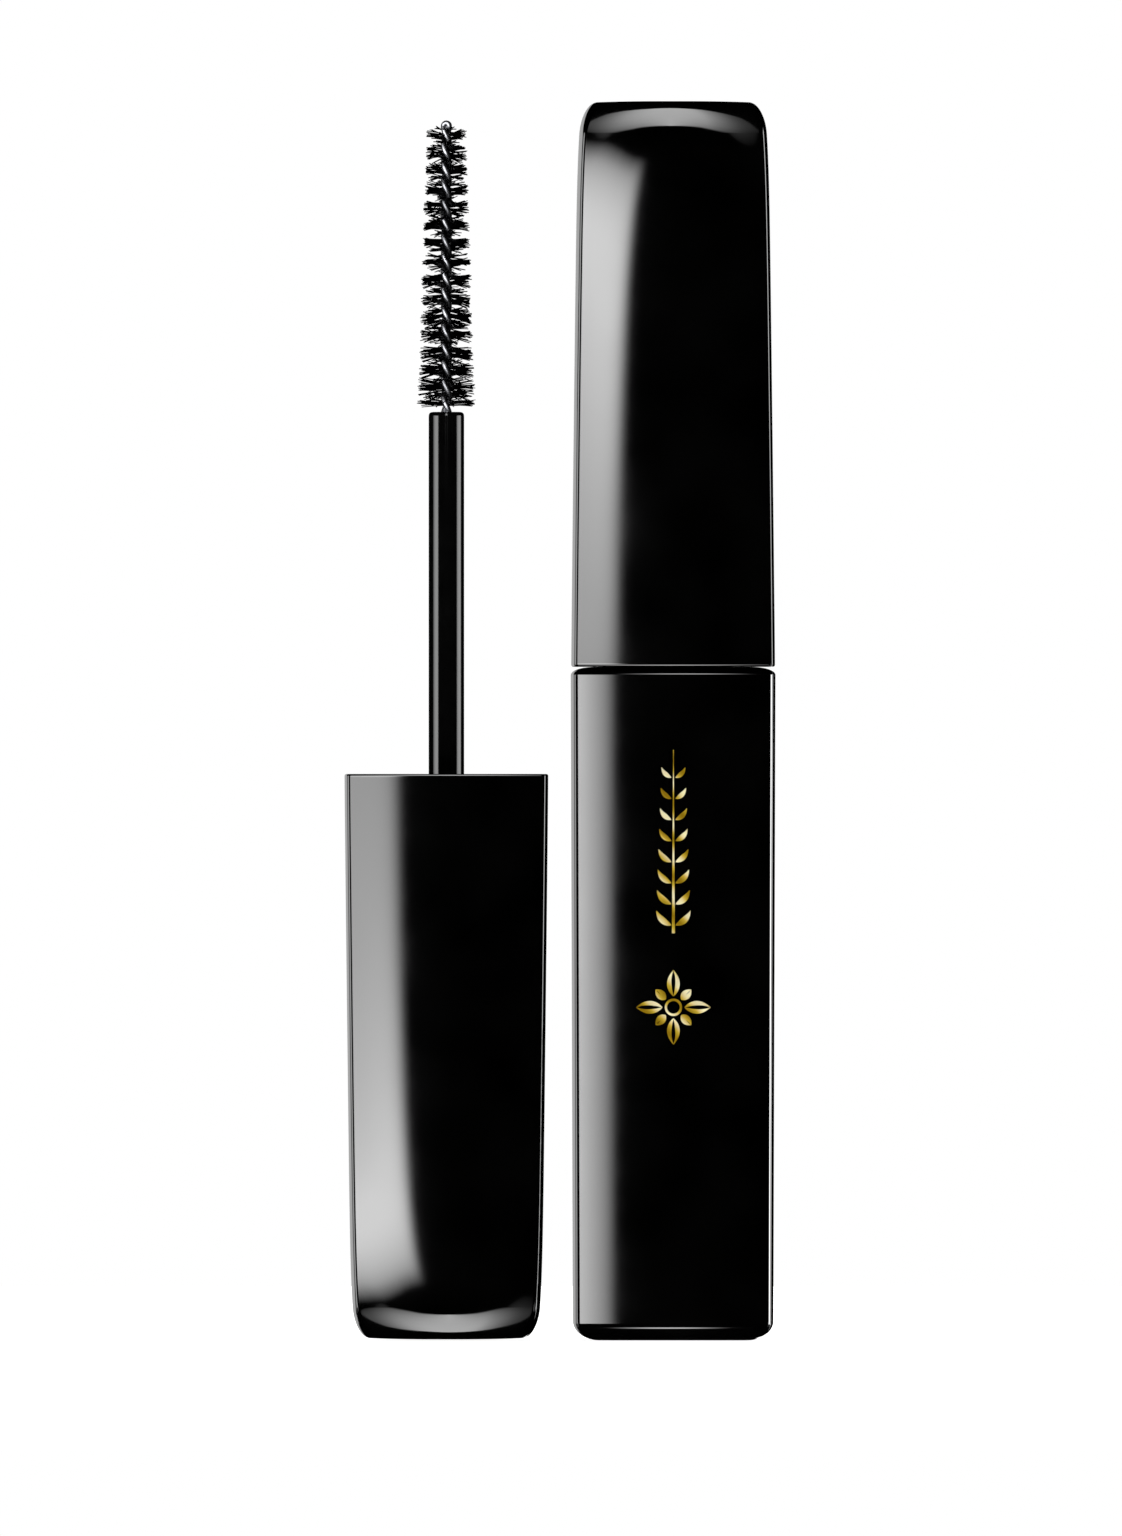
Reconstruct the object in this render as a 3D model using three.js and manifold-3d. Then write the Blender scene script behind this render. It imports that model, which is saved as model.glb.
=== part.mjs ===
// A slim square mascara. One tube stands closed, with its applicator screwed into it. A second
// applicator of the same make stands free beside it on the top of its cap, brush upwards.
// Millimetres, +Z up, fronts towards -Y. The origin is on the ground, in the middle of the pair.
import * as THREE from "three";
import { mergeVertices } from "three/addons/utils/BufferGeometryUtils.js";
import Module from "manifold-3d";

const wasm = await Module();
wasm.setup();

// ---- Driving dimensions --------------------------------------------------------------------

const AXIS_SPACING = 22.7; // from the loose applicator's axis to the tube's
const FIT = 0.3; // clearance between neighbouring pieces
const RIM_Z = 67.35; // height of the closed cap's rim

// The square section that the case and the cap share: bowed faces with tight corners.
const SECTION = { faceRadius: 180, cornerRadius: 0.4, faceSteps: 4, cornerSteps: 3 };

const CASE = {
  crown: 67.15, // top of the shoulder
  footHalf: 10.03, // half width of the sides at the foot
  crownHalf: 10.25, // half width that the sides reach at the shoulder
  footRound: { inward: 2.5, high: 1.8 },
  shoulderRound: { inward: 2.2, high: 0.65 },
  plateUnderside: 65.6, // of the shoulder plate that the vial is pushed up against
};

const CAP = {
  height: 56.6,
  rimHalf: 10.2, // half width at the rim
  rimRound: 0.2,
  taper: { drop: 0.53, by: 46.7, power: 1.1 }, // the sides lean in towards the top
  nip: { drop: 0.45, power: 14 }, // and more so just below it
  topRound: { inward: 1.35, high: 3.1 },
  topCorner: 1.3, // the corner radius grows to this at the top
  topBow: { gain: 0.004, fade: 14 }, // the faces bow more as they near the top, by 1/mm
  crownDrop: 0.2, // the top is a low dome
  flatHalf: 4, // with a level middle, which it stands on when upside down
  boreRadius: 7.6,
  boreDepth: 53,
};

const VIAL = { radius: 6.5, inner: 5.8, under: 0.8, floor: 1.4, top: 79.1 };
const NECK = { radius: 5.6, inner: 4.6 };
const THREAD = { foot: 70, pitch: 2.6, crest: 6.1, turns: 1.75, stepsPerTurn: 20 };
const O_RING = { section: 0.55, seatGap: 0.1 };
const PLUG = { foot: 0.1, rimWidth: 1.1, recess: 0.2 };
const LABEL = { radius: 5.1, foot: 0.12, top: 0.24 };
const WIPER = {
  flange: 5.4,
  flangeFoot: 0.1, // above the neck's rim
  flangeTop: 0.65,
  mouth: 3.7,
  cone: 5.5, // depth below the rim at which it starts to narrow
  lip: 12, // depth of the lip that wipes the rod
};
const CREAM = { bore: 3.3, level: 44, meniscus: 3 };

// The applicator's heights are above its cap's rim, and its reaches are below it.
const LINER = { foot: 1.7, top: 15.5, roof: 13.9, bore: 6.4, groove: 6.85, hub: 3.6, hubTop: 27 };
const WEIGHT = { foot: 15.8, top: 25.8 };
const GASKET = { foot: 12.8, top: 13.6, outer: 5.6 };
const ROD = { radius: 1.775, root: 25.4, reach: 36.25, endRound: 0.35, holeDepth: 8 };
const WIRE = { radius: 0.29, reach: 65.45, pitch: 3.6, embedded: 7.6, stepsPerTurn: 5 };
const BRUSH = { root: 36.6, tip: 64.9, rootRadius: 2.9, tipRadius: 2.0, taperedRoot: 1 };

const FACETS = { large: 40, small: 24 };

const { PI, sin, cos, sqrt, exp, atan2, max, min, round } = Math;
const mix = (a, b, t) => a + (b - a) * t;
const shares = (n) => Array.from({ length: n + 1 }, (_, i) => i / n);

// ---- Closed surfaces -----------------------------------------------------------------------

// Turns a closed surface so that its faces point outwards.
function facingOut(geometry) {
  const at = geometry.getAttribute("position");
  const index = geometry.index.array;
  const corner = (i) => new THREE.Vector3().fromBufferAttribute(at, index[i]);
  let volume = 0;
  for (let i = 0; i < index.length; i += 3) {
    volume += corner(i).dot(corner(i + 1).cross(corner(i + 2)));
  }
  if (volume > 0) return geometry;
  for (let i = 0; i < index.length; i += 3) {
    [index[i], index[i + 1]] = [index[i + 1], index[i]];
  }
  return geometry;
}

// One skin through rings that have equal numbers of points, with a fan over each end.
function skin(rings) {
  const count = rings[0].length;
  const middle = (ring) =>
    ring.reduce((sum, p) => sum.add(p), new THREE.Vector3()).divideScalar(count);
  const points = [...rings.flat(), middle(rings[0]), middle(rings.at(-1))];
  const last = (rings.length - 1) * count;
  const index = [];
  for (let i = 0; i < count; i++) {
    const next = (i + 1) % count;
    for (let low = 0; low < last; low += count) {
      const high = low + count;
      index.push(low + i, low + next, high + i, low + next, high + next, high + i);
    }
    index.push(points.length - 2, next, i, points.length - 1, last + i, last + next);
  }
  return facingOut(new THREE.BufferGeometry().setFromPoints(points).setIndex(index));
}

// The surface with its vertices merged and its flat slivers dropped, ready to be cut.
function toSolid(geometry) {
  const bare = new THREE.BufferGeometry();
  bare.setAttribute("position", geometry.getAttribute("position"));
  const merged = mergeVertices(bare.setIndex(geometry.index), 1e-4);
  const all = [...merged.index.array];
  const kept = all.filter((_, i) => {
    const [a, b, c] = all.slice(i - (i % 3), i - (i % 3) + 3);
    return a !== b && b !== c && a !== c;
  });
  facingOut(merged.setIndex(kept));
  const vertProperties = merged.getAttribute("position").array;
  const triVerts = Uint32Array.from(merged.index.array);
  return new wasm.Manifold(new wasm.Mesh({ numProp: 3, vertProperties, triVerts }));
}

function toGeometry(solid) {
  const { vertProperties, triVerts } = solid.getMesh();
  return new THREE.BufferGeometry()
    .setAttribute("position", new THREE.BufferAttribute(Float32Array.from(vertProperties), 3))
    .setIndex([...triVerts]);
}

const join = (one, other) => toGeometry(toSolid(one).add(toSolid(other)));
const cut = (geometry, ...tools) =>
  toGeometry(tools.reduce((solid, tool) => solid.subtract(toSolid(tool)), toSolid(geometry)));

// A turned piece about Z. Its profile of [radius, height] ends on the axis or closes on itself.
function turned(profile, facets = FACETS.large) {
  const points = profile.map(([r, z]) => new THREE.Vector2(r, z));
  if (profile[0][0] !== 0) points.push(points[0].clone());
  return toGeometry(toSolid(new THREE.LatheGeometry(points, facets).rotateX(PI / 2)));
}

const washer = (inner, outer, foot, top, facets) =>
  turned([[inner, foot], [outer, foot], [outer, top], [inner, top]], facets);
const disc = (radius, foot, top, facets) =>
  turned([[0, foot], [radius, foot], [radius, top], [0, top]], facets);

// A helical bead about Z. It runs out to nothing at both ends.
function helix({ root, crest, foot, turns, rootHalf, crestHalf }) {
  const count = round(turns * THREAD.stepsPerTurn);
  const runOut = 4; // steps over which each end grows to full depth
  const rings = shares(count).map((t) => {
    const angle = t * turns * 2 * PI;
    const grown = min(1, (t * count + 0.5) / runOut, ((1 - t) * count + 0.5) / runOut);
    const outer = mix(root, crest, grown);
    const section = [[root, -rootHalf], [outer, -crestHalf], [outer, crestHalf], [root, rootHalf]];
    const lift = foot + t * turns * THREAD.pitch;
    return section.map(([r, dz]) => new THREE.Vector3(r * cos(angle), r * sin(angle), lift + dz));
  });
  return skin(rings);
}

// ---- The shared square section -------------------------------------------------------------

// The outline at height z of a square with bowed faces, which are "half" from the axis.
function squareRing(half, z, corner = SECTION.cornerRadius, faceRadius = SECTION.faceRadius) {
  const { faceSteps, cornerSteps } = SECTION;
  const faceBack = faceRadius - half; // from the axis to a face's centre of curvature
  const reach = faceRadius - corner; // from there to the corner arc's centre
  const centre = (sqrt(2 * reach * reach - faceBack * faceBack) - faceBack) / 2;
  const turn = atan2(centre, centre + faceBack); // where the face hands over to the corner
  const face = shares(faceSteps).map((t) => {
    const a = mix(-turn, turn, t);
    return [faceRadius * cos(a) - faceBack, faceRadius * sin(a)];
  });
  const bend = shares(cornerSteps).slice(1, -1).map((t) => {
    const a = mix(turn, PI / 2 - turn, t);
    return [centre + corner * cos(a), centre + corner * sin(a)];
  });
  const up = new THREE.Vector3(0, 0, 1);
  return [0, 1, 2, 3].flatMap((side) =>
    [...face, ...bend].map(([x, y]) => new THREE.Vector3(x, y, z).applyAxisAngle(up, (side * PI) / 2)),
  );
}

// How far an elliptical round has drawn the side in, at a share t of the way to its end.
const drawnIn = (inward, t) => inward * (1 - sqrt(max(0, 1 - t * t)));

// Shares that crowd towards the end of a round, where it curves most.
const eased = (n) => shares(n).map((t) => sin((t * PI) / 2));

// ---- The tube ------------------------------------------------------------------------------

function tubeCase() {
  const { crown, footRound, shoulderRound, plateUnderside } = CASE;
  const half = (z) => mix(CASE.footHalf, CASE.crownHalf, z / crown);
  const sideTop = crown - shoulderRound.high;
  const foot = eased(5).reverse().map((t) => [
    half(0) - drawnIn(footRound.inward, t),
    footRound.high * (1 - t),
  ]);
  const side = [mix(footRound.high, sideTop, 0.5)].map((z) => [half(z), z]);
  const shoulder = eased(4).map((t) => [
    half(sideTop) - drawnIn(shoulderRound.inward, t),
    sideTop + (shoulderRound.high - 0.05) * t,
  ]);
  const levels = [...foot, ...side, ...shoulder, [NECK.radius, crown]];
  const block = skin(levels.map(([h, z]) => squareRing(h, z)));
  const bore = disc(VIAL.radius + FIT, -1, plateUnderside);
  const neckHole = disc(NECK.radius + FIT, plateUnderside - 1, crown + 1);
  return cut(block, bore, neckHole);
}

// Closes the case under the vial. Its shallow recess holds the label.
function basePlug() {
  const rim = VIAL.radius;
  const inner = rim - PLUG.rimWidth;
  const floor = PLUG.foot + PLUG.recess;
  const top = VIAL.under - 0.1;
  return turned([[0, floor], [inner, floor], [inner, PLUG.foot], [rim, PLUG.foot], [rim, top], [0, top]]);
}

// Holds the cream. Its threaded neck stands up through the case's shoulder.
function vial() {
  const shoulder = CASE.plateUnderside - FIT;
  const body = turned([
    [0, VIAL.under], [VIAL.radius, VIAL.under], [VIAL.radius, shoulder],
    [NECK.radius, shoulder], [NECK.radius, VIAL.top], [NECK.inner, VIAL.top],
    [NECK.inner, shoulder], [VIAL.inner, shoulder - 1.5], [VIAL.inner, VIAL.floor], [0, VIAL.floor],
  ]);
  const { foot, crest, turns } = THREAD;
  const sunk = NECK.radius - 0.2; // the bead's root is let into the neck
  return join(body, helix({ root: sunk, crest, foot, turns, rootHalf: 0.6, crestHalf: 0.22 }));
}

// Lines the neck and narrows to a lip that wipes the rod. Its flange lies on the neck's rim.
function wiper() {
  const { flange, flangeFoot, flangeTop, mouth, cone, lip } = WIPER;
  const rim = VIAL.top;
  const outer = NECK.inner - FIT;
  const orifice = ROD.radius + FIT;
  return turned([
    [mouth, rim + flangeTop], [flange, rim + flangeTop], [flange, rim + flangeFoot],
    [outer, rim + flangeFoot], [outer, rim - cone], [orifice + 0.7, rim - lip],
    [orifice, rim - lip], [orifice, rim - lip + 0.8], [mouth - 0.4, rim - cone],
  ], FACETS.small);
}

// What is left of the cream lines the vial, round the brush.
function mascaraCream() {
  const { bore, level, meniscus } = CREAM;
  const foot = VIAL.floor + 0.1;
  const outer = VIAL.inner - 0.1;
  return turned([[bore, foot], [outer, foot], [outer, level], [bore, level - meniscus]], FACETS.small);
}

// A rubber O-ring on the shoulder, round the foot of the neck. The closed cap bears on it.
function neckRing() {
  const { section, seatGap } = O_RING;
  const middle = NECK.radius + FIT + section;
  const seat = CASE.crown + seatGap + section;
  const outline = shares(8).slice(0, -1).map((t) => [
    middle + section * cos(t * 2 * PI),
    seat + section * sin(t * 2 * PI),
  ]);
  return turned(outline, FACETS.small);
}

// ---- The applicator, rim at height 0, cap above it and brush below -------------------------

function capShell() {
  const { height, rimHalf, rimRound, taper, nip, topRound, topBow, crownDrop } = CAP;
  const sideTop = height - crownDrop - topRound.high;
  const half = (u) =>
    rimHalf - taper.drop * (u / taper.by) ** taper.power - nip.drop * (u / height) ** nip.power;
  const widening = 4; // height over which the corner radius grows
  const corner = (u) => {
    const t = max(0, (u - height + widening) / widening);
    return mix(SECTION.cornerRadius, CAP.topCorner, t * t);
  };
  const faceRadius = (u) => 1 / (1 / SECTION.faceRadius + topBow.gain * exp((u - height) / topBow.fade));
  const rim = eased(2).reverse().map((t) => [half(0) - drawnIn(rimRound, t), rimRound * (1 - t)]);
  const side = [0.35, 0.65, 0.85, 0.95].map((t) => [half(sideTop * t), sideTop * t]);
  const top = eased(6).map((t) => {
    const u = sideTop + topRound.high * t;
    return [half(u) - drawnIn(topRound.inward, t), u];
  });
  const levels = [...rim, ...side, ...top, [CAP.flatHalf, height]];
  const block = skin(levels.map(([h, u]) => squareRing(h, u, corner(u), faceRadius(u))));
  return cut(block, disc(CAP.boreRadius, -1, CAP.boreDepth));
}

// The inner cap: a threaded cup for the neck, with a hub above it that grips the rod.
function capLiner() {
  const { foot, top, roof, bore, groove, hub, hubTop } = LINER;
  const outer = CAP.boreRadius - FIT;
  const socket = ROD.radius + FIT;
  const leadIn = 0.4; // chamfer that guides the neck in
  const body = turned([
    [0, hubTop], [hub, hubTop], [hub, top], [outer, top], [outer, foot],
    [bore + leadIn, foot], [bore, foot + leadIn], [bore, roof], [socket, roof],
    [socket, ROD.root + FIT], [0, ROD.root + FIT],
  ]);
  const thread = helix({
    root: bore - 0.2, crest: groove, foot: THREAD.foot - RIM_Z, turns: THREAD.turns + 0.5,
    rootHalf: 0.75, crestHalf: 0.3,
  });
  return cut(body, thread);
}

// A steel slug that gives the cap its heft.
const capWeight = () =>
  washer(LINER.hub + FIT, CAP.boreRadius - FIT, WEIGHT.foot, WEIGHT.top, FACETS.large);

// A foam ring in the roof of the inner cap, which closes on the wiper's flange.
const capGasket = () =>
  washer(ROD.radius + FIT, GASKET.outer, GASKET.foot, GASKET.top, FACETS.small);

// The rod is gripped in the liner's hub, and a hole up its other end holds the wire.
function wandRod() {
  const { radius, root, reach, endRound, holeDepth } = ROD;
  const hole = 2 * WIRE.radius + FIT;
  const end = shares(3).map((t) => [
    radius - endRound * (1 - sin((t * PI) / 2)),
    endRound * (1 - cos((t * PI) / 2)) - reach,
  ]);
  return turned([
    [0, holeDepth - reach], [hole, holeDepth - reach], [hole, -reach], ...end,
    [radius, root], [0, root],
  ], FACETS.small);
}

// Two wires twisted left-handed about each other, and closed by a bend at the tip.
function wireCore() {
  const { radius, reach, pitch, embedded, stepsPerTurn } = WIRE;
  const root = embedded - ROD.reach;
  const tip = radius - reach;
  const oneSide = shares(3).map((t) => mix(-PI / 2, PI / 2, t)).map((a) => [
    radius + radius * cos(a),
    radius * sin(a),
  ]);
  const section = [...oneSide, ...oneSide.map(([x, y]) => [-x, -y])];
  const ringAt = (z, size) => {
    const a = -(z / pitch) * 2 * PI;
    return section.map(([x, y]) => new THREE.Vector3(
      size * (x * cos(a) - y * sin(a)),
      size * (x * sin(a) + y * cos(a)),
      z,
    ));
  };
  const count = round(((root - tip) / pitch) * stepsPerTurn);
  return skin([ringAt(-reach, 0.5), ...shares(count).map((t) => ringAt(mix(tip, root, t), 1))]);
}

// The space that the fibres fill, as one soft solid about the wire.
function bristles() {
  const { root, tip, rootRadius, tipRadius, taperedRoot } = BRUSH;
  const inner = 2 * WIRE.radius + FIT;
  return turned([
    [inner, -tip], [tipRadius, -tip], [rootRadius, -root - taperedRoot],
    [rootRadius - 0.5, -root], [inner, -root],
  ], FACETS.small);
}

// ---- Materials and assembly ----------------------------------------------------------------

const finish = (color, roughness, metalness = 0) =>
  new THREE.MeshStandardMaterial({ color, roughness, metalness });

const FINISH = {
  lacquer: finish(0x040404, 0.05),
  rod: finish(0x060606, 0.12),
  moulded: finish(0x121212, 0.45),
  rubbery: finish(0x2a2a2b, 0.6),
  cream: finish(0x050505, 0.25),
  foam: finish(0xe4e2dc, 0.8),
  steel: finish(0x8c8f93, 0.35, 1),
  wire: finish(0x55565a, 0.3, 1),
  fibre: finish(0x080808, 0.5),
  label: finish(0x1a1a1a, 0.6),
};

function piece(name, geometry, material) {
  const mesh = new THREE.Mesh(geometry, material);
  mesh.name = name;
  return mesh;
}

function tube() {
  return new THREE.Group().add(
    piece("tube_case", tubeCase(), FINISH.lacquer),
    piece("base_plug", basePlug(), FINISH.moulded),
    piece("base_label", disc(LABEL.radius, LABEL.foot, LABEL.top, FACETS.small), FINISH.label),
    piece("vial", vial(), FINISH.moulded),
    piece("wiper", wiper(), FINISH.rubbery),
    piece("mascara_cream", mascaraCream(), FINISH.cream),
    piece("neck_ring", neckRing(), FINISH.rubbery),
  );
}

function applicator(prefix) {
  return new THREE.Group().add(
    piece(`${prefix}cap_shell`, capShell(), FINISH.lacquer),
    piece(`${prefix}cap_liner`, capLiner(), FINISH.moulded),
    piece(`${prefix}cap_weight`, capWeight(), FINISH.steel),
    piece(`${prefix}cap_gasket`, capGasket(), FINISH.foam),
    piece(`${prefix}wand_rod`, wandRod(), FINISH.rod),
    piece(`${prefix}wire_core`, wireCore(), FINISH.wire),
    piece(`${prefix}bristles`, bristles(), FINISH.fibre),
  );
}

// The tube is a little wider than the cap, so the middle of the pair isn't midway between axes.
const sideTop = CASE.crown - CASE.shoulderRound.high;
const tubeHalf = mix(CASE.footHalf, CASE.crownHalf, sideTop / CASE.crown);
const tubeX = (AXIS_SPACING + CAP.rimHalf - tubeHalf) / 2;

const closedTube = tube();
closedTube.position.x = tubeX;

const closedApplicator = applicator("");
closedApplicator.position.set(tubeX, 0, RIM_Z);

const looseApplicator = applicator("loose_");
looseApplicator.position.set(tubeX - AXIS_SPACING, 0, CAP.height);
looseApplicator.rotation.y = PI;

const mascara = new THREE.Group();
mascara.add(closedTube, closedApplicator, looseApplicator);

export default mascara;
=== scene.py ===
# A slim square mascara: a closed tube, and a loose applicator standing on its cap beside it.
# Shapes are made in millimetres about their own axis, then set down in the frame in metres.
import math
import bmesh
import bpy
from mathutils import Matrix, Vector


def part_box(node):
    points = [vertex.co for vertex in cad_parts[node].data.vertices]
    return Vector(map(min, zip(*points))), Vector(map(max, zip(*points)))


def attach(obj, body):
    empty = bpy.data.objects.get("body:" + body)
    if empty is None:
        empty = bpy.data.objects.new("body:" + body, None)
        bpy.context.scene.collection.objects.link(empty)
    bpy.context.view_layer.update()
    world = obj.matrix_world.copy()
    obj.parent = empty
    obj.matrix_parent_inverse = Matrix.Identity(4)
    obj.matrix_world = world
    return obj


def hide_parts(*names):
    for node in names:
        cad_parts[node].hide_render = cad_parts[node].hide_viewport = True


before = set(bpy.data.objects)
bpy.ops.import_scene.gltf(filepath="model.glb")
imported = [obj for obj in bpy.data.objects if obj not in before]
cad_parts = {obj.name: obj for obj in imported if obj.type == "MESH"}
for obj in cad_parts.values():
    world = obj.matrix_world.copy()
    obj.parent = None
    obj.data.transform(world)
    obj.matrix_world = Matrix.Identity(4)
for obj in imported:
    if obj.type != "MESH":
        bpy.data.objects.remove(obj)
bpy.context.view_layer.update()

mm = 0.001
scene = bpy.context.scene

# where things stand, taken from the frame
caseLow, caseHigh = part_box("tube_case")
capLow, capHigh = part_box("cap_shell")
looseLow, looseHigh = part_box("loose_cap_shell")
tubeX = (caseLow.x + caseHigh.x) / 2
looseX = (looseLow.x + looseHigh.x) / 2
toMetres = Matrix.Scale(mm, 4)
tubeSpace = Matrix.Translation((tubeX, 0, 0)) @ toMetres
closedSpace = Matrix.Translation((tubeX, 0, capLow.z)) @ toMetres
looseSpace = Matrix.Translation((looseX, 0, looseHigh.z)) @ Matrix.Rotation(math.pi, 4, "Y") @ toMetres
# the two applicators: prefix of their names, place, body
assemblies = (("", closedSpace, "applicator"), ("loose_", looseSpace, "loose_applicator"))

# camera

view = {"lens": 900, "framedHeight": 0.1536, "sharpAt": -0.005, "middleX": 0.0001, "middleZ": 0.0572}
cameraData = bpy.data.cameras.new("camera")
cameraData.lens = view["lens"]
cameraData.clip_start = 0.05
camera = bpy.data.objects.new("camera", cameraData)
halfAngle = math.atan(cameraData.sensor_width / 2 / view["lens"])
distance = view["framedHeight"] / 2 / math.tan(halfAngle)
camera.location = (view["middleX"], view["sharpAt"] - distance, view["middleZ"])
camera.rotation_euler = (math.pi / 2, 0, 0)
scene.collection.objects.link(camera)
scene.camera = camera
scene.view_settings.view_transform = "Standard"
print("camera is up,", round(distance, 3), "m away")

# helpers


def mix(a, b, t):
    return a + (b - a) * t


def shares(count):
    return [i / count for i in range(count + 1)]


# shares that crowd towards both ends, so that a wide face doesn't smear a tight corner's shading
def crowded(count):
    return [0.5 - 0.5 * math.cos(math.pi * t) for t in shares(count)]


def hexColour(text):
    parts = [int(text[i:i + 2], 16) / 255 for i in (1, 3, 5)]
    return [p / 12.92 if p <= 0.04045 else ((p + 0.055) / 1.055) ** 2.4 for p in parts] + [1]


# adds a node, sets its properties and unlinked inputs, and links the others
def addNode(tree, kind, settings=None, links=None):
    node = tree.nodes.new(kind)
    for key, value in (settings or {}).items():
        if isinstance(key, int) or key in node.inputs:
            node.inputs[key].default_value = value
        else:
            setattr(node, key, value)
    for key, socket in (links or {}).items():
        tree.links.new(socket, node.inputs[key])
    return node


def setRamp(node, stops):
    ramp = node.color_ramp
    ramp.elements.remove(ramp.elements[1])
    for i, (place, value) in enumerate(stops):  # in rising order
        element = ramp.elements[0] if i == 0 else ramp.elements.new(place)
        element.position = place
        element.color = value if isinstance(value, list) else [value, value, value, 1]


# a mesh from points and faces, closed and facing outwards, with smooth faces between sharp edges
def closedMesh(name, points, faces, sharpAngle=32):
    mesh = bpy.data.meshes.new(name)
    mesh.from_pydata(points, [], faces)
    work = bmesh.new()
    work.from_mesh(mesh)
    bmesh.ops.remove_doubles(work, verts=work.verts, dist=1e-4)
    bmesh.ops.recalc_face_normals(work, faces=work.faces)
    work.to_mesh(mesh)
    work.free()
    mesh.shade_smooth()
    mesh.set_sharp_from_angle(angle=math.radians(sharpAngle))
    return mesh


# the points and faces of a skin over rings of equal length; an end ring is closed by a fan
def skinOver(rings, closed=False):
    count = len(rings[0])
    points = [p for ring in rings for p in ring]
    faces = []
    pairs = len(rings) if closed else len(rings) - 1
    for k in range(pairs):
        low, high = k * count, ((k + 1) % len(rings)) * count
        for i in range(count):
            j = (i + 1) % count
            faces.append((low + i, low + j, high + j, high + i))
    if not closed:
        for start in (0, (len(rings) - 1) * count):
            ring = points[start:start + count]
            points.append(sum(ring, Vector()) / count)
            hub = len(points) - 1
            faces += [(start + i, start + (i + 1) % count, hub) for i in range(count)]
    return points, faces


def loft(name, rings, closed=False, sharpAngle=32):
    points, faces = skinOver(rings, closed)
    return closedMesh(name, points, faces, sharpAngle)


# rounds the corners of a profile of (radius, height, round)
def softened(profile, steps=4, closed=False):
    made = []
    count = len(profile)
    for i, (r, z, fillet) in enumerate(profile):
        here = Vector((r, z))
        isEnd = not closed and i in (0, count - 1)
        if isEnd or fillet == 0:
            made.append(here)
            continue
        back = Vector(profile[i - 1][:2]) - here
        ahead = Vector(profile[(i + 1) % count][:2]) - here
        half = back.angle(ahead) / 2
        reach = min(fillet / math.tan(half), back.length * 0.49, ahead.length * 0.49)
        start, end = here + back.normalized() * reach, here + ahead.normalized() * reach
        for t in shares(steps):
            made.append(mix(mix(start, here, t), mix(here, end, t), t))
    return made


# a turned piece: its profile ends on the axis, or closes on itself
def turned(name, profile, facets=96, closed=False, sharpAngle=32):
    line = softened(profile, closed=closed)
    rings = []
    for r, z in line:
        if r < 1e-6:
            continue
        angles = [2 * math.pi * i / facets for i in range(facets)]
        rings.append([Vector((r * math.cos(a), r * math.sin(a), z)) for a in angles])
    return loft(name, rings, closed, sharpAngle)


# runs a node tree over a base mesh and returns the result as a plain mesh
def madeByNodes(name, base, tree, inputs):
    source = bpy.data.objects.new(name, base)
    scene.collection.objects.link(source)
    modifier = source.modifiers.new("made", "NODES")
    modifier.node_group = tree
    for item in tree.interface.items_tree:
        if item.item_type == "SOCKET" and item.in_out == "INPUT" and item.name in inputs:
            modifier[item.identifier] = inputs[item.name]
    graph = bpy.context.evaluated_depsgraph_get()
    mesh = bpy.data.meshes.new_from_object(source.evaluated_get(graph), depsgraph=graph)
    source.modifiers.remove(modifier)
    bpy.data.objects.remove(source)
    mesh.name = name
    return mesh


# sets a finished mesh down in the frame as a piece that rides on a body
def addPiece(name, mesh, space, material, slot, body, *nodes):
    mesh.transform(space)
    if not mesh.materials:
        mesh.materials.append(material)
    piece = bpy.data.objects.new(name, mesh)
    scene.collection.objects.link(piece)
    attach(piece, body)
    if nodes:
        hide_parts(*nodes)
    return piece


# materials


def newMaterial(name, surface):
    material = bpy.data.materials.new(name)
    material.use_nodes = True
    tree = material.node_tree
    shader = tree.nodes["Principled BSDF"]
    for socket, value in surface.items():
        shader.inputs[socket].default_value = value
    place = addNode(tree, "ShaderNodeTexCoord").outputs["Object"]
    return material, tree, shader, place


# roughness that drifts between two values over patches of a given size
def unevenRoughness(tree, shader, place, patch, low, high):
    cloud = addNode(tree, "ShaderNodeTexNoise", {"Scale": 1 / (patch * mm), "Detail": 4}, {"Vector": place})
    spread = addNode(tree, "ShaderNodeMapRange",
                     {"From Min": 0.3, "From Max": 0.7, "To Min": low, "To Max": high},
                     {"Value": cloud.outputs["Fac"]})
    tree.links.new(spread.outputs["Result"], shader.inputs["Roughness"])


# a bump of a given grain size and depth, both in millimetres
def grainBump(tree, shader, place, grain, depth):
    cloud = addNode(tree, "ShaderNodeTexNoise", {"Scale": 1 / (grain * mm), "Detail": 2}, {"Vector": place})
    bump = addNode(tree, "ShaderNodeBump", {"Strength": 1.0, "Distance": depth * mm},
                   {"Height": cloud.outputs["Fac"]})
    tree.links.new(bump.outputs["Normal"], shader.inputs["Normal"])


# two colours that mix over patches of a given size
def mottledColour(tree, shader, place, patch, one, other):
    cloud = addNode(tree, "ShaderNodeTexNoise", {"Scale": 1 / (patch * mm), "Detail": 5}, {"Vector": place})
    ramp = addNode(tree, "ShaderNodeValToRGB", {}, {"Fac": cloud.outputs["Fac"]})
    setRamp(ramp, [(0.35, hexColour(one)), (0.65, hexColour(other))])
    tree.links.new(ramp.outputs["Color"], shader.inputs["Base Color"])


# lacquered ABS: a clear coat over jet black, so it is a black mirror with a faint orange peel
def makeLacquer():
    material, tree, shader, place = newMaterial("lacquered_abs", {
        "IOR": 1.5, "Coat Weight": 0.25, "Coat Roughness": 0.02, "Coat IOR": 1.5})
    mottledColour(tree, shader, place, 9, "#000000", "#020202")
    unevenRoughness(tree, shader, place, 7, 0.03, 0.05)
    grainBump(tree, shader, place, 1.4, 0.0001)
    return material


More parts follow.
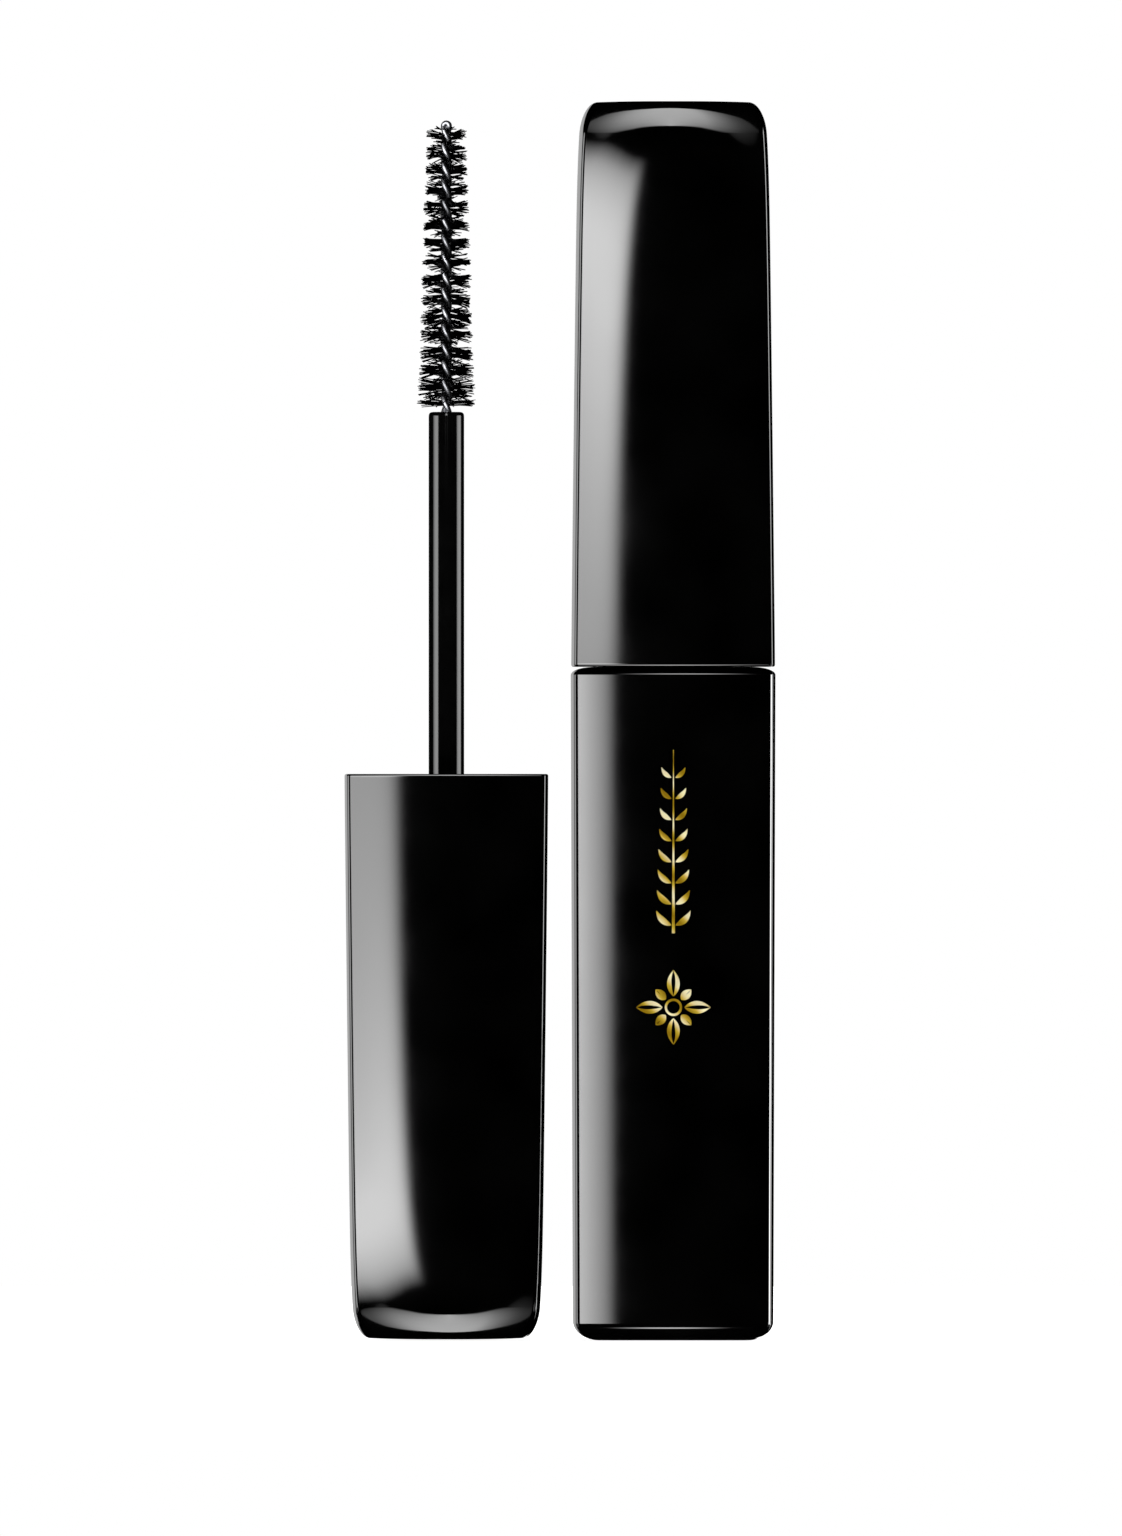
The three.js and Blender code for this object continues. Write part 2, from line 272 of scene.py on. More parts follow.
# polished acetal: the rod's moulded gloss, a touch softer than lacquer
def makeRodGloss():
    material, tree, shader, place = newMaterial("polished_acetal", {"IOR": 1.48})
    mottledColour(tree, shader, place, 3, "#030303", "#060606")
    unevenRoughness(tree, shader, place, 2.5, 0.07, 0.13)
    grainBump(tree, shader, place, 0.5, 0.0004)
    return material


# moulded polypropylene: satin black with a fine spark texture
def makeMoulded():
    material, tree, shader, place = newMaterial("moulded_polypropylene", {"IOR": 1.49})
    mottledColour(tree, shader, place, 4, "#0c0c0d", "#131314")
    unevenRoughness(tree, shader, place, 2, 0.32, 0.45)
    grainBump(tree, shader, place, 0.12, 0.0015)
    return material


# nitrile rubber: dull, with a bloom
def makeRubber():
    material, tree, shader, place = newMaterial("nitrile_rubber", {"IOR": 1.52})
    mottledColour(tree, shader, place, 1.5, "#161617", "#202021")
    unevenRoughness(tree, shader, place, 1.2, 0.55, 0.75)
    grainBump(tree, shader, place, 0.1, 0.002)
    return material


# nylon fibre: thin extruded filament, glossy where cream hasn't dulled it
def makeNylon():
    material, tree, shader, place = newMaterial("nylon_fibre", {"IOR": 1.53, "Specular IOR Level": 0.25})
    mottledColour(tree, shader, place, 0.6, "#010101", "#040404")
    unevenRoughness(tree, shader, place, 0.5, 0.3, 0.5)
    return material


# twisted stainless wire, bright on the crests and filmed with cream between them
def makeWire():
    material, tree, shader, place = newMaterial("stainless_wire", {"Metallic": 1.0})
    mottledColour(tree, shader, place, 1.5, "#66676a", "#9b9ca0")
    unevenRoughness(tree, shader, place, 0.8, 0.34, 0.42)
    grainBump(tree, shader, place, 0.15, 0.0004)
    return material


# turned steel: fine rings left by the tool
def makeSteel():
    material, tree, shader, place = newMaterial("turned_steel", {"Metallic": 1.0})
    mottledColour(tree, shader, place, 3, "#8b8e92", "#a3a6aa")
    unevenRoughness(tree, shader, place, 1, 0.25, 0.4)
    grainBump(tree, shader, place, 0.2, 0.002)
    return material


# polyethylene foam: pale, with small closed cells
def makeFoam():
    material, tree, shader, place = newMaterial("polyethylene_foam", {"IOR": 1.5})
    mottledColour(tree, shader, place, 0.5, "#d8d5cc", "#efece4")
    unevenRoughness(tree, shader, place, 0.5, 0.7, 0.85)
    grainBump(tree, shader, place, 0.18, 0.02)
    return material


# mascara cream: a wet wax emulsion, black and slick, with soft ripples
def makeCreamSheen():
    material, tree, shader, place = newMaterial("mascara_cream", {"IOR": 1.45, "Coat Weight": 0.4})
    mottledColour(tree, shader, place, 2, "#040404", "#090809")
    unevenRoughness(tree, shader, place, 1.5, 0.12, 0.3)
    grainBump(tree, shader, place, 1.5, 0.08)
    return material


# printed film: the label's matt black face
def makeFilm():
    material, tree, shader, place = newMaterial("matt_label_film", {"IOR": 1.5})
    mottledColour(tree, shader, place, 3, "#1b1b1c", "#222223")
    unevenRoughness(tree, shader, place, 2, 0.45, 0.6)
    grainBump(tree, shader, place, 0.25, 0.001)
    return material


# hot-stamped gold foil, its colour painted in soft diagonal bands from deep gold to near-white cream, a painted
# sheen standing in for reflected light, with a faint wrinkle
def makeFoil():
    material, tree, shader, place = newMaterial("hot_stamped_foil", {"Metallic": 1.0})
    # painted sheen: diagonal bands that lighten the gold towards near-white cream, standing in for reflected
    # light
    wave = addNode(tree, "ShaderNodeTexWave", {
        "wave_type": "BANDS", "bands_direction": "DIAGONAL",
        "Scale": 0.16 / mm, "Distortion": 2.0, "Detail": 2}, {"Vector": place})
    ramp = addNode(tree, "ShaderNodeValToRGB", {}, {"Fac": wave.outputs["Fac"]})
    setRamp(ramp, [(0.0, hexColour("#9a7a12")), (0.45, hexColour("#d9b93c")), (1.0, hexColour("#fff6c8"))])
    tree.links.new(ramp.outputs["Color"], shader.inputs["Base Color"])
    unevenRoughness(tree, shader, place, 0.8, 0.4, 0.52)
    grainBump(tree, shader, place, 0.3, 0.002)
    return material


lacquer = makeLacquer()
rodGloss = makeRodGloss()
moulded = makeMoulded()
rubber = makeRubber()
nylon = makeNylon()
wireMetal = makeWire()
steel = makeSteel()
foam = makeFoam()
creamSheen = makeCreamSheen()
labelFilm = makeFilm()
foil = makeFoil()
print("materials are mixed")

# the square section that the case and the caps share

section = {"faceRadius": 180, "cornerRadius": 0.4, "faceSteps": 24, "cornerSteps": 12}


# the outline at a height of a square with bowed faces, "half" from the axis
def squareRing(half, z, faceRadius=section["faceRadius"], corner=section["cornerRadius"]):
    faceBack = faceRadius - half
    reach = faceRadius - corner
    centre = (math.sqrt(2 * reach * reach - faceBack * faceBack) - faceBack) / 2
    turn = math.atan2(centre, centre + faceBack)
    quarter = []
    for t in crowded(section["faceSteps"]):
        a = mix(-turn, turn, t)
        quarter.append((faceRadius * math.cos(a) - faceBack, faceRadius * math.sin(a)))
    for t in shares(section["cornerSteps"])[1:-1]:
        a = mix(turn, math.pi / 2 - turn, t)
        quarter.append((centre + corner * math.cos(a), centre + corner * math.sin(a)))
    ring = []
    for side in range(4):
        c, s = ((1, 0), (0, 1), (-1, 0), (0, -1))[side]
        ring += [Vector((x * c - y * s, x * s + y * c, z)) for x, y in quarter]
    return ring


# a round ring whose points stand at the same angles as those of another ring
def roundRing(like, radius, z):
    made = []
    for p in like:
        a = math.atan2(p.y, p.x)
        made.append(Vector((radius * math.cos(a), radius * math.sin(a), z)))
    return made


# how far an elliptical round has drawn the side in, at a share t of the way to its end
def drawnIn(inward, t):
    return inward * (1 - math.sqrt(max(0, 1 - t * t)))


# the tube's case

case = {
    "crown": (caseHigh.z - caseLow.z) / mm, "footHalf": 10.03, "crownHalf": 10.25,
    "footRound": (2.5, 1.8), "shoulderRound": (2.2, 0.65),  # inward, high
    "bore": 6.8, "neckHole": 5.9, "plate": 65.6, "edge": 0.12,
    "dome": 0.17, "rimFall": 0.02,  # the crown's rise into the joint, and how much less of it the rim has
    "footSteps": 18, "sideSteps": 32, "shoulderSteps": 16,
}


def caseHalf(z):
    return mix(case["footHalf"], case["crownHalf"], z / case["crown"])


def makeCase():
    inward, high = case["footRound"]
    shoulderIn, shoulderHigh = case["shoulderRound"]
    sideTop = case["crown"] - shoulderHigh
    rise = shoulderHigh + case["dome"] - case["rimFall"]
    levels = []
    for t in shares(case["footSteps"]):
        s = math.sin((1 - t) * math.pi / 2)
        levels.append((caseHalf(0) - drawnIn(inward, s), high * (1 - s)))
    for t in crowded(case["sideSteps"])[1:-1]:
        z = mix(high, sideTop, t)
        levels.append((caseHalf(z), z))
    for t in shares(case["shoulderSteps"]):
        s = math.sin(t * math.pi / 2)
        levels.append((caseHalf(sideTop) - drawnIn(shoulderIn, s), sideTop + rise * s))
    outside = [squareRing(half, z) for half, z in levels]
    bottom, top = outside[0], outside[-1]
    edge = case["edge"]
    inside = [  # down from the neck hole, under the plate and down the bore
        roundRing(top, case["neckHole"] + edge, case["crown"] + case["dome"]),
        roundRing(top, case["neckHole"], case["crown"] - edge),
        roundRing(top, case["neckHole"], case["plate"]),
        roundRing(top, case["bore"], case["plate"]),
        roundRing(bottom, case["bore"], edge),
        roundRing(bottom, case["bore"] + edge, 0),
    ]
    return loft("tube_case_gloss", outside + inside, closed=True)


addPiece("case", makeCase(), tubeSpace, lacquer, "lacquer", "tube", "tube_case")
print("case is moulded")

# the caps

cap = {
    "height": (capHigh.z - capLow.z) / mm, "rimHalf": 10.2, "rimRound": 0.2,
    "taper": (0.53, 46.7, 1.1),  # drop, at this height, power
    "nip": (0.45, 14),  # further drop at the very top, power
    "topRound": (1.35, 3.1), "crownDrop": 0.2,
    "topBow": (0.004, 14),  # extra bow of the faces at the top, by 1/mm, and its fading depth
    "topCorner": 1.3, "cornerGrowth": 4, "cornerShare": 0.6,  # a corner's radius, at most, as a share of "half"
    "bore": 7.6, "boreDepth": 53, "edge": 0.12,
    "crownHub": 0.3, "boreHub": 0.5,  # the last rings before the fans that close the crown and the bore
    "rimSteps": 8, "sideSteps": 64, "roundSteps": 28, "crownSteps": 14,
}


def capHalf(u):
    drop, at, power = cap["taper"]
    nip, nipPower = cap["nip"]
    return cap["rimHalf"] - drop * (u / at) ** power - nip * (u / cap["height"]) ** nipPower


def capRing(half, u):
    depth = cap["height"] - u
    gain, fade = cap["topBow"]
    bow = 1 / section["faceRadius"] + gain * math.exp(-depth / fade)
    growth = max(0, 1 - depth / cap["cornerGrowth"])
    corner = mix(section["cornerRadius"], cap["topCorner"], growth * growth)
    return squareRing(half, u, 1 / bow, min(corner, half * cap["cornerShare"]))


def makeCap(name):
    inward, high = cap["topRound"]
    sideTop = cap["height"] - cap["crownDrop"] - high
    levels = []
    for t in shares(cap["rimSteps"]):
        s = math.sin((1 - t) * math.pi / 2)
        levels.append((capHalf(0) - drawnIn(cap["rimRound"], s), cap["rimRound"] * (1 - s)))
    for t in crowded(cap["sideSteps"])[1:-1]:
        u = mix(cap["rimRound"], sideTop, t)
        levels.append((capHalf(u), u))
    for t in shares(cap["roundSteps"]):
        s = math.sin(t * math.pi / 2)
        u = sideTop + high * s
        levels.append((capHalf(u) - drawnIn(inward, s), u))
    crownHalf = levels[-1][0]
    for t in shares(cap["crownSteps"])[1:]:
        half = crownHalf * (1 - t) + cap["crownHub"] * t
        levels.append((half, cap["height"] - cap["crownDrop"] * (half / crownHalf) ** 2))
    outside = [capRing(half, u) for half, u in levels]
    rim = outside[0]
    edge = cap["edge"]
    inside = [
        roundRing(rim, cap["boreHub"], cap["boreDepth"]),
        roundRing(rim, cap["bore"], cap["boreDepth"]),
        roundRing(rim, cap["bore"], edge),
        roundRing(rim, cap["bore"] + edge, 0),
    ]
    return loft(name, inside + outside)


for prefix, space, body in assemblies:
    addPiece(prefix + "cap", makeCap(prefix + "cap_gloss"), space, lacquer, "lacquer",
             body, prefix + "cap_shell")
print("caps are moulded")

# rod

rod = {"radius": 1.775, "root": 25.4, "reach": 36.25, "endRound": 0.42, "hole": 0.62, "holeDepth": 8}


def makeRod(name):
    r, reach = rod["radius"], rod["reach"]
    profile = [
        (0, rod["holeDepth"] - reach, 0), (rod["hole"], rod["holeDepth"] - reach, 0),
        (rod["hole"], -reach, 0.06), (r, -reach, rod["endRound"]), (r, rod["root"], 0.2), (0, rod["root"], 0),
    ]
    return turned(name, profile, facets=72)


for prefix, space, body in assemblies:
    addPiece(prefix + "rod", makeRod(prefix + "rod_gloss"), space, rodGloss, "rod", body, prefix + "wand_rod")
print("rods are turned")

# tubes along a path: wires and thread beads


def makePathTree():
    tree = bpy.data.node_groups.new("tube along a path", "GeometryNodeTree")
    face = tree.interface
    face.new_socket("Path", in_out="INPUT", socket_type="NodeSocketGeometry")
    for name, default in (("Radius", 0.3), ("Run Out", 0.02)):
        face.new_socket(name, in_out="INPUT", socket_type="NodeSocketFloat").default_value = default
    face.new_socket("Sides", in_out="INPUT", socket_type="NodeSocketInt").default_value = 12
    face.new_socket("Material", in_out="INPUT", socket_type="NodeSocketMaterial")
    face.new_socket("Tube", in_out="OUTPUT", socket_type="NodeSocketGeometry")
    given = addNode(tree, "NodeGroupInput").outputs
    curve = addNode(tree, "GeometryNodeMeshToCurve", {}, {"Mesh": given["Path"]})
    along = addNode(tree, "GeometryNodeSplineParameter").outputs["Factor"]
    back = addNode(tree, "ShaderNodeMath", {"operation": "SUBTRACT", 0: 1.0}, {1: along})
    nearer = addNode(tree, "ShaderNodeMath", {"operation": "MINIMUM"}, {0: along, 1: back.outputs[0]})
    grown = addNode(tree, "ShaderNodeMapRange", {"interpolation_type": "SMOOTHSTEP", "To Min": 0.15},
                    {"Value": nearer.outputs[0], "From Max": given["Run Out"]})
    sized = addNode(tree, "GeometryNodeSetCurveRadius", {},
                    {"Curve": curve.outputs[0], "Radius": grown.outputs["Result"]})
    outline = addNode(tree, "GeometryNodeCurvePrimitiveCircle", {},
                      {"Resolution": given["Sides"], "Radius": given["Radius"]})
    tube = addNode(tree, "GeometryNodeCurveToMesh", {"Fill Caps": True},
                   {"Curve": sized.outputs[0], "Profile Curve": outline.outputs[0]})
    if "Scale" in tube.inputs:
        radius = addNode(tree, "GeometryNodeInputRadius").outputs[0]
        tree.links.new(radius, tube.inputs["Scale"])
    real = addNode(tree, "GeometryNodeRealizeInstances", {}, {0: tube.outputs[0]})
    painted = addNode(tree, "GeometryNodeSetMaterial", {},
                      {"Geometry": real.outputs[0], "Material": given["Material"]})
    addNode(tree, "NodeGroupOutput", {}, {"Tube": painted.outputs[0]})
    return tree


pathTree = makePathTree()


def tubeAlong(name, path, radius, sides, material, runOut=1e-4):
    line = bpy.data.meshes.new(name + "_path")
    line.from_pydata(path, [(i, i + 1) for i in range(len(path) - 1)], [])
    mesh = madeByNodes(name, line, pathTree, {
        "Radius": radius, "Run Out": runOut, "Sides": sides, "Material": material})
    mesh.shade_smooth()
    mesh.set_sharp_from_angle(angle=math.radians(50))
    return mesh


wire = {"radius": 0.275, "offset": 0.285, "reach": 65.45, "pitch": 3.6, "embedded": 7, "stepsPerTurn": 22}


def strandPoint(u, side):
    a = -2 * math.pi * u / wire["pitch"] + side * math.pi
    return Vector((wire["offset"] * math.cos(a), wire["offset"] * math.sin(a), u))


# one wire, bent double at the tip and twisted left-handed on itself
def makeWireCore(name):
    root = wire["embedded"] - rod["reach"]
    turnedAt = wire["radius"] + wire["offset"] - wire["reach"]
    count = round((root - turnedAt) / wire["pitch"] * wire["stepsPerTurn"])
    up = [strandPoint(mix(root, turnedAt, t), 0) for t in shares(count)]
    down = [strandPoint(mix(turnedAt, root, t), 1) for t in shares(count)]
    bend = []
    for t in shares(10)[1:-1]:
        across = (up[-1] + down[0]) / 2 + (up[-1] - down[0]) / 2 * math.cos(t * math.pi)
        bend.append(across - Vector((0, 0, wire["offset"] * math.sin(t * math.pi))))
    return tubeAlong(name, up + bend + down, wire["radius"], 12, wireMetal)


for prefix, space, body in assemblies:
    addPiece(prefix + "wire", makeWireCore(prefix + "wire_twist"), space, wireMetal, "wire",
             body, prefix + "wire_core")
print("wires are twisted")

# inside the tube

fit = 0.3  # clearance between neighbouring pieces
threadRunOut = 0.06  # share of a thread over which each end fades into its wall
vial = {"radius": 6.5, "inner": 5.8, "under": 0.8, "floor": 1.4, "shoulder": 65.3, "slope": 1.5, "top": 79.1}
neck = {"radius": 5.6, "inner": 4.6, "threadFoot": 70, "pitch": 2.6, "turns": 1.75,
        "bead": 0.4, "proud": 0.08}
# the wiper's heights are measured from the vial's top
wiper = {"flange": 5.4, "flangeTop": 0.65, "flangeFoot": 0.1, "mouth": 3.7, "outer": 4.3, "taper": 0.4,
         "cone": 5.5, "lip": 12, "orifice": 2.075, "lipWall": 0.7, "land": 0.8}
cream = {"gap": 0.1, "bore": 3.3, "level": 44}
plug = {"rim": 6.5, "inner": 5.4, "foot": 0.1, "floor": 0.3, "top": 0.7}
label = {"radius": 5.1, "foot": 0.12, "top": 0.24}
ring = {"section": 0.55, "middle": 6.45, "height": 67.8}


def helixPath(radius, foot, pitch, turns):
    steps = round(turns * 40)
    return [Vector((radius * math.cos(t * turns * 2 * math.pi), radius * math.sin(t * turns * 2 * math.pi),
                    foot + t * turns * pitch)) for t in shares(steps)]


def makeVial():
    r, i, top, edge = neck["radius"], neck["inner"], vial["top"], vial["shoulder"]
    return turned("vial_wall", [
        (0, vial["under"], 0), (vial["radius"], vial["under"], 0.6), (vial["radius"], edge, 0.5),
        (r, edge, 0.2), (r, top, 0.2), (i, top, 0.2), (i, edge, 0.6),
        (vial["inner"], edge - vial["slope"], 0.6), (vial["inner"], vial["floor"], 0.8),
        (0, vial["floor"], 0)])


def makeWiper():
    mouth, outer, orifice = wiper["mouth"], wiper["outer"], wiper["orifice"]
    top, foot = vial["top"] + wiper["flangeTop"], vial["top"] + wiper["flangeFoot"]
    cone, lip = vial["top"] - wiper["cone"], vial["top"] - wiper["lip"]
    return turned("wiper_sleeve", [
        (mouth, top, 0.15), (wiper["flange"], top, 0.2), (wiper["flange"], foot, 0.12), (outer, foot, 0.1),
        (outer, cone, 0.8), (orifice + wiper["lipWall"], lip, 0.25), (orifice, lip, 0.2),
        (orifice, lip + wiper["land"], 0.3), (mouth - wiper["taper"], cone, 0.8)], closed=True)


# it clings to the wall, and sinks towards the bore that the brush leaves
def makeCream():
    outer, foot = vial["inner"] - cream["gap"], vial["floor"] + cream["gap"]
    bore, level = cream["bore"], cream["level"]
    return turned("cream_lining", [
        (bore, foot, 0.4), (outer, foot, 0.8), (outer, level, 0.3), (outer - 0.9, level - 0.5, 0.4),
        (bore + 0.6, level - 2, 0.6), (bore, level - 3, 0.5)], closed=True)


def makeRing():
    profile = []
    for t in shares(28)[:-1]:
        a = 2 * math.pi * t
        profile.append((ring["middle"] + ring["section"] * math.cos(a),
                        ring["height"] + ring["section"] * math.sin(a), 0))
    return turned("o_ring", profile, closed=True)


def makePlug():
    return turned("foot_plug", [
        (0, plug["floor"], 0), (plug["inner"], plug["floor"], 0.06), (plug["inner"], plug["foot"], 0.06),
        (plug["rim"], plug["foot"], 0.12), (plug["rim"], plug["top"], 0.1), (0, plug["top"], 0)])


def makeLabel():
    return turned("foot_label", [
        (0, label["foot"], 0), (label["radius"], label["foot"], 0.03),
        (label["radius"], label["top"], 0.03), (0, label["top"], 0)])


addPiece("vial_wall", makeVial(), tubeSpace, moulded, "vial", "tube", "vial")
beadPath = helixPath(neck["radius"] + neck["proud"], neck["threadFoot"], neck["pitch"], neck["turns"])
neckBead = tubeAlong("neck_bead", beadPath, neck["bead"], 14, moulded, threadRunOut)
addPiece("neck_thread", neckBead, tubeSpace, moulded, "vial", "tube")
addPiece("wiper_sleeve", makeWiper(), tubeSpace, rubber, "rubber", "tube", "wiper")
addPiece("cream_lining", makeCream(), tubeSpace, creamSheen, "cream", "tube", "mascara_cream")
addPiece("o_ring", makeRing(), tubeSpace, rubber, "rubber", "neck_ring", "neck_ring")
addPiece("foot_plug", makePlug(), tubeSpace, moulded, "moulded", "tube", "base_plug")
addPiece("foot_label", makeLabel(), tubeSpace, labelFilm, "label", "tube", "base_label")
print("tube is filled and closed")

# inside the caps

liner = {"outer": 7.3, "foot": 1.7, "top": 15.5, "roof": 13.9, "bore": 6.4, "hub": 3.6, "hubTop": 27,
         "socket": 2.075, "leadIn": 0.4, "threadFoot": 2.65, "turns": 2.25, "ridge": 0.22, "ridgeSunk": 0.05}
weight = {"inner": 3.9, "outer": 7.3, "foot": 15.8, "top": 25.8, "edge": 0.4, "belly": 0.0}
gasket = {"inner": 2.075, "outer": 5.6, "foot": 12.8, "top": 13.6, "edge": 0.1, "belly": 0.12}


def makeLiner(name):
    roof, socket, bore, out = liner["roof"], liner["socket"], liner["bore"], liner["outer"]
    return turned(name, [
        (0, liner["hubTop"], 0), (liner["hub"], liner["hubTop"], 0.3), (liner["hub"], liner["top"], 0.3),
        (out, liner["top"], 0.4), (out, liner["foot"], 0.2), (bore + liner["leadIn"], liner["foot"], 0.1),
        (bore, liner["foot"] + liner["leadIn"], 0.1), (bore, roof, 0.3), (socket, roof, 0.1),
        (socket, rod["root"] + fit, 0), (0, rod["root"] + fit, 0)])


# a ring whose outer wall bulges by "belly"
def washer(name, size):
    inner, outer, foot, top = size["inner"], size["outer"], size["foot"], size["top"]
    edge, belly = size["edge"], size["belly"]
    return turned(name, [
        (inner, foot, edge), (outer - belly, foot, edge), (outer, (foot + top) / 2, belly * 2),
        (outer - belly, top, edge), (inner, top, edge)], closed=True)


ridgePath = helixPath(liner["bore"] + liner["ridgeSunk"], liner["threadFoot"], neck["pitch"], liner["turns"])
for prefix, space, body in assemblies:
    addPiece(prefix + "liner", makeLiner(prefix + "liner_cup"), space, moulded, "moulded",
             body, prefix + "cap_liner")
    ridge = tubeAlong(prefix + "ridge", ridgePath, liner["ridge"], 10, moulded, threadRunOut)
    addPiece(prefix + "liner_thread", ridge, space, moulded, "moulded", body)
    slug = washer(prefix + "weight_slug", weight)
    addPiece(prefix + "weight", slug, space, steel, "steel", body, prefix + "cap_weight")
    seal = washer(prefix + "gasket_ring", gasket)
    addPiece(prefix + "gasket", seal, space, foam, "foam", body, prefix + "cap_gasket")
print("caps are fitted out")

# foil ornament on the case's front: an upright sprig, and a rosette under it

sprig = {"foot": 40.7, "top": 59.0, "stem": 0.24, "stemTip": 0.06, "stemSteps": 30,
         "pairs": 8, "firstPair": 0.8, "shrink": 0.35,
         "leaf": (1.7, 1.45), "leafRoot": 0.2, "leafWidth": 0.6, "leafBow": 0.12}
rosette = {"height": 33.3, "petals": 8, "root": 1.1, "reach": (3.7, 2.5), "width": 0.42, "bow": 0.16,
           "hub": 0.75, "hubWidth": 0.24, "hubSteps": 32}
leafShape = {"tip": 0.03, "fullness": 0.85, "steps": 12}  # below 1, it is fullest nearer its root
foilDepth = {"out": 0.03, "sunk": 0.02}


# a strip of foil along a path of (x, z), laid on the bowed front
def ribbon(path, widths, closed=False):
    rings = []
    count = len(path)
    for i, (x, z) in enumerate(path):
        before = path[i - 1] if closed or i > 0 else path[i]
        after = path[(i + 1) % count] if closed or i < count - 1 else path[i]
        along = Vector((after[0] - before[0], after[1] - before[1])).normalized()
        aside = Vector((-along.y, along.x)) * widths[i] / 2
        corners = []
        for side, depth in ((-1, "out"), (1, "out"), (1, "sunk"), (-1, "sunk")):
            px, pz = x + side * aside.x, z + side * aside.y
            proud = foilDepth["out"] if depth == "out" else -foilDepth["sunk"]
            corners.append(Vector((px, px * px / 2 / section["faceRadius"] - caseHalf(pz) - proud, pz)))
        rings.append(corners)
    return skinOver(rings, closed)


# a slender leaf from one place towards another, bowed to one side
def leaf(start, end, bow, width):
    start, end = Vector(start), Vector(end)
    aside = Vector((-(end - start).y, (end - start).x)) * bow
    path, widths = [], []
    for t in shares(leafShape["steps"]):
        p = start.lerp(end, t) + aside * 4 * t * (1 - t)
        path.append((p.x, p.y))
        widths.append(leafShape["tip"] + width * math.sin(math.pi * t ** leafShape["fullness"]))
    return ribbon(path, widths)


def makeOrnament():
    strips = []
    up = shares(sprig["stemSteps"])
    stem = [(0, mix(sprig["foot"], sprig["top"], t)) for t in up]
    strips.append(ribbon(stem, [sprig["stemTip"] + sprig["stem"] * (1 - t) for t in up]))
    rise = (sprig["top"] - sprig["foot"] - sprig["leaf"][1]) / sprig["pairs"]
    for i in range(sprig["pairs"]):
        z = sprig["foot"] + sprig["firstPair"] + i * rise
        size = 1 - sprig["shrink"] * i / sprig["pairs"]
        for side in (-1, 1):
            tip = (side * sprig["leaf"][0] * size, z + sprig["leaf"][1] * size)
            root = (side * sprig["leafRoot"], z)
            strips.append(leaf(root, tip, -side * sprig["leafBow"], sprig["leafWidth"] * size))
    centre = rosette["height"]
    for i in range(rosette["petals"]):
        a = i * 2 * math.pi / rosette["petals"]
        reach = rosette["reach"][i % 2]
        root = (rosette["root"] * math.sin(a), centre + rosette["root"] * math.cos(a))
        tip = (reach * math.sin(a), centre + reach * math.cos(a))
        for side in (-1, 1):
            strips.append(leaf(root, tip, side * rosette["bow"], rosette["width"]))
    around = [(rosette["hub"] * math.cos(a), centre + rosette["hub"] * math.sin(a))
              for a in [2 * math.pi * t for t in shares(rosette["hubSteps"])[:-1]]]
    strips.append(ribbon(around, [rosette["hubWidth"]] * rosette["hubSteps"], closed=True))
    points, faces = [], []
    for stripPoints, stripFaces in strips:
        base = len(points)
        points += stripPoints
        faces += [tuple(base + i for i in face) for face in stripFaces]
    return closedMesh("foil_ornament", points, faces)


addPiece("foil_ornament", makeOrnament(), tubeSpace, foil, "label", "tube")
print("foil is stamped")

# brush

brush = {
    "Count": 2100, "Root": -36.9, "Tip": -64.5, "Pitch": wire["pitch"],
    "Root Radius": 2.95, "Tip Radius": 2.05, "Fibre Radius": 0.062,
    "Root Spread": 0.5, "Tip Spread": 0.16, "Seed": 7,  # how far fibres stray from the helix, radians
}
# how its fibres lie: strays as shares of that spread, tilts in radians, lengths and taper as shares
lie = {
    "tuft": 7, "tuftStray": 0.7, "fibreStray": 0.6, "tuftTilt": 0.26, "fibreTilt": 0.06, "rootDroop": -0.06,
    "packed": 1.0, "packedSpread": 0.9,  # the last millimetre is packed all round
    "shortest": 0.9, "taper": 0.2,
}


